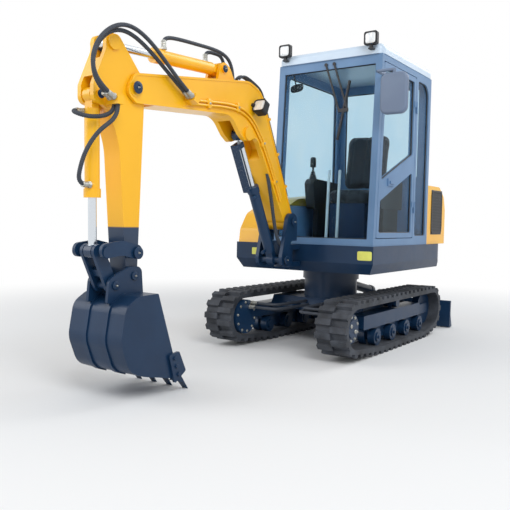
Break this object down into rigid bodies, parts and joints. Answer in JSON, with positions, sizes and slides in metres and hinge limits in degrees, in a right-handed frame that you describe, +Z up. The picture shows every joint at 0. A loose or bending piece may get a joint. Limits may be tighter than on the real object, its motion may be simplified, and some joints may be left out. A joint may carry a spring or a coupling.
{
  "type": "mini excavator",
  "caption": "Compact tracked digger with enclosed cab, swinging boom, arm, bucket, dozer blade, door and engine hood on real joints.",
  "frame": {"origin": "on the ground under the slew axis", "axes": "+X forward along the boom, +Y to the door side, +Z up"},
  "size_m": [4.3575, 1.5675, 2.5649],
  "materials": {
    "track_rubber": "matt",
    "dark_paint": "satin",
    "cab_paint": "satin",
    "roof_paint": "satin",
    "cab_glass": "gloss",
    "yellow_paint": "gloss",
    "rod_chrome": "polished",
    "black_plastic": "matt",
    "hose_cover": "matt",
    "seat_cover": "woven"
  },
  "bodies": {
    "undercarriage": {"track_left": "track_rubber", "track_right": "track_rubber", "track_frame_left": "dark_paint", "track_frame_right": "dark_paint", "rollers_left": "dark_paint", "rollers_right": "dark_paint", "drive_left": "dark_paint", "drive_right": "dark_paint", "carbody": "dark_paint", "travel_hoses": "hose_cover", "slew_ring": "dark_paint"},
    "blade": {"blade": "dark_paint"},
    "blade_barrel": {"blade_barrel": "dark_paint"},
    "blade_rod": {"blade_rod": "rod_chrome"},
    "house": {"deck": "dark_paint", "tail": "dark_paint", "cab_front": "cab_paint", "cab_right": "cab_paint", "cab_rear": "cab_paint", "cab_left": "cab_paint", "cab_roof": "roof_paint", "windscreen": "cab_glass", "wiper": "black_plastic", "right_pane": "cab_glass", "rear_pane": "cab_glass", "quarter_pane": "cab_glass", "roof_lamps": "black_plastic", "side_mirror": "black_plastic", "seat": "seat_cover", "seat_stand": "dark_paint", "consoles": "black_plastic", "travel_levers": "black_plastic", "bay_side_left": "yellow_paint", "bay_side_right": "yellow_paint", "hood_hinges": "dark_paint", "engine": "dark_paint", "side_cover": "yellow_paint"},
    "door": {"door": "cab_paint", "door_panes": "cab_glass"},
    "hood": {"hood": "yellow_paint"},
    "swing_post": {"swing_post": "dark_paint"},
    "boom": {"boom": "yellow_paint", "boom_lamp": "black_plastic", "boom_hoses": "hose_cover", "arm_hoses": "hose_cover", "cylinder_hoses": "hose_cover"},
    "boom_barrel": {"boom_barrel": "dark_paint"},
    "boom_rod": {"boom_rod": "rod_chrome"},
    "arm": {"arm": "yellow_paint"},
    "arm_barrel": {"arm_barrel": "yellow_paint"},
    "arm_rod": {"arm_rod": "rod_chrome"},
    "bucket_barrel": {"bucket_barrel": "yellow_paint"},
    "bucket_rod": {"bucket_rod": "rod_chrome"},
    "rocker": {"rocker": "dark_paint"},
    "push_link": {"push_link": "dark_paint"},
    "bucket": {"bucket": "dark_paint"}
  },
  "joints": [
    {"name": "slew", "type": "hinge", "parent": "undercarriage", "child": "house", "pos_m": [0, 0, 0.65], "axis": [0, 0, 1], "continuous": true},
    {"name": "boom_swing", "type": "hinge", "parent": "house", "child": "swing_post", "pos_m": [0.69, -0.08, 0.78], "axis": [0, 0, 1], "range_deg": [-50, 75]},
    {"name": "boom", "type": "hinge", "parent": "swing_post", "child": "boom", "pos_m": [0.76, -0.08, 1.057], "axis": [0, -1, 0], "range_deg": [-60, 34], "deforming": ["boom_hoses"]},
    {"name": "arm", "type": "hinge", "parent": "boom", "child": "arm", "pos_m": [2.48852, -0.08, 1.81397], "axis": [0, -1, 0], "range_deg": [-30, 75], "deforming": ["arm_hoses"]},
    {"name": "bucket", "type": "hinge", "parent": "arm", "child": "bucket", "pos_m": [2.48852, -0.08, 0.71897], "axis": [0, -1, 0], "range_deg": [-100, 55]},
    {"name": "blade", "type": "hinge", "parent": "undercarriage", "child": "blade", "pos_m": [-0.42, 0, 0.33], "axis": [0, 1, 0], "range_deg": [-16, 18]},
    {"name": "door", "type": "hinge", "parent": "house", "child": "door", "pos_m": [-0.285, 0.653, 1.6], "axis": [0, 0, 1], "range_deg": [0, 160]},
    {"name": "hood", "type": "hinge", "parent": "house", "child": "hood", "pos_m": [-0.672, 0, 1.434], "axis": [0, 1, 0], "range_deg": [0, 60]},
    {"name": "boom_barrel", "type": "hinge", "parent": "swing_post", "child": "boom_barrel", "pos_m": [0.863, -0.08, 0.754], "axis": [0, -1, 0], "range_deg": [-46.6, 26.84]},
    {"name": "boom_rod", "type": "slide", "parent": "boom_barrel", "child": "boom_rod", "axis": [0.4668, 0, 0.8843], "range_m": [-0.2794, 0.1592]},
    {"name": "arm_barrel", "type": "hinge", "parent": "boom", "child": "arm_barrel", "pos_m": [1.61817, -0.08, 2.10092], "axis": [0, -1, 0], "range_deg": [-1.76, 1.3], "deforming": ["cylinder_hoses"]},
    {"name": "arm_rod", "type": "slide", "parent": "arm_barrel", "child": "arm_rod", "axis": [0.9983, 0, -0.0583], "range_m": [-0.3249, 0.1311]},
    {"name": "bucket_barrel", "type": "hinge", "parent": "arm", "child": "bucket_barrel", "pos_m": [2.74152, -0.08, 1.73797], "axis": [0, -1, 0], "range_deg": [-2.93, 2.06]},
    {"name": "bucket_rod", "type": "slide", "parent": "bucket_barrel", "child": "bucket_rod", "axis": [-0.0138, 0, -0.9999], "range_m": [-0.1285, 0.232]},
    {"name": "rocker", "type": "hinge", "parent": "arm", "child": "rocker", "pos_m": [2.49952, -0.08, 0.85597], "axis": [0, -1, 0], "range_deg": [-67.3, 37.47]},
    {"name": "push_link", "type": "hinge", "parent": "bucket", "child": "push_link", "pos_m": [2.63752, -0.08, 0.67197], "axis": [0, -1, 0], "range_deg": [-34.5, 61.9]},
    {"name": "blade_barrel", "type": "hinge", "parent": "undercarriage", "child": "blade_barrel", "pos_m": [-0.33, 0, 0.49], "axis": [0, 1, 0], "range_deg": [-14.81, 16.53]},
    {"name": "blade_rod", "type": "slide", "parent": "blade_barrel", "child": "blade_rod", "axis": [-0.9815, 0, -0.1915], "range_m": [-0.0463, 0.0414]}
  ],
  "couplings": [
    {"joint": "boom_barrel", "follows": "boom", "ratio": 0.76},
    {"joint": "boom_rod", "follows": "boom", "m_per_rad": 0.26493},
    {"joint": "arm_barrel", "follows": "arm", "ratio": -0.0101},
    {"joint": "arm_rod", "follows": "arm", "m_per_rad": -0.24664},
    {"joint": "bucket_barrel", "follows": "bucket", "ratio": 0.0193},
    {"joint": "bucket_rod", "follows": "bucket", "m_per_rad": -0.13179},
    {"joint": "rocker", "follows": "bucket", "ratio": 0.663},
    {"joint": "push_link", "follows": "bucket", "ratio": -0.609},
    {"joint": "blade_barrel", "follows": "blade", "ratio": 0.863},
    {"joint": "blade_rod", "follows": "blade", "m_per_rad": -0.14111}
  ]
}
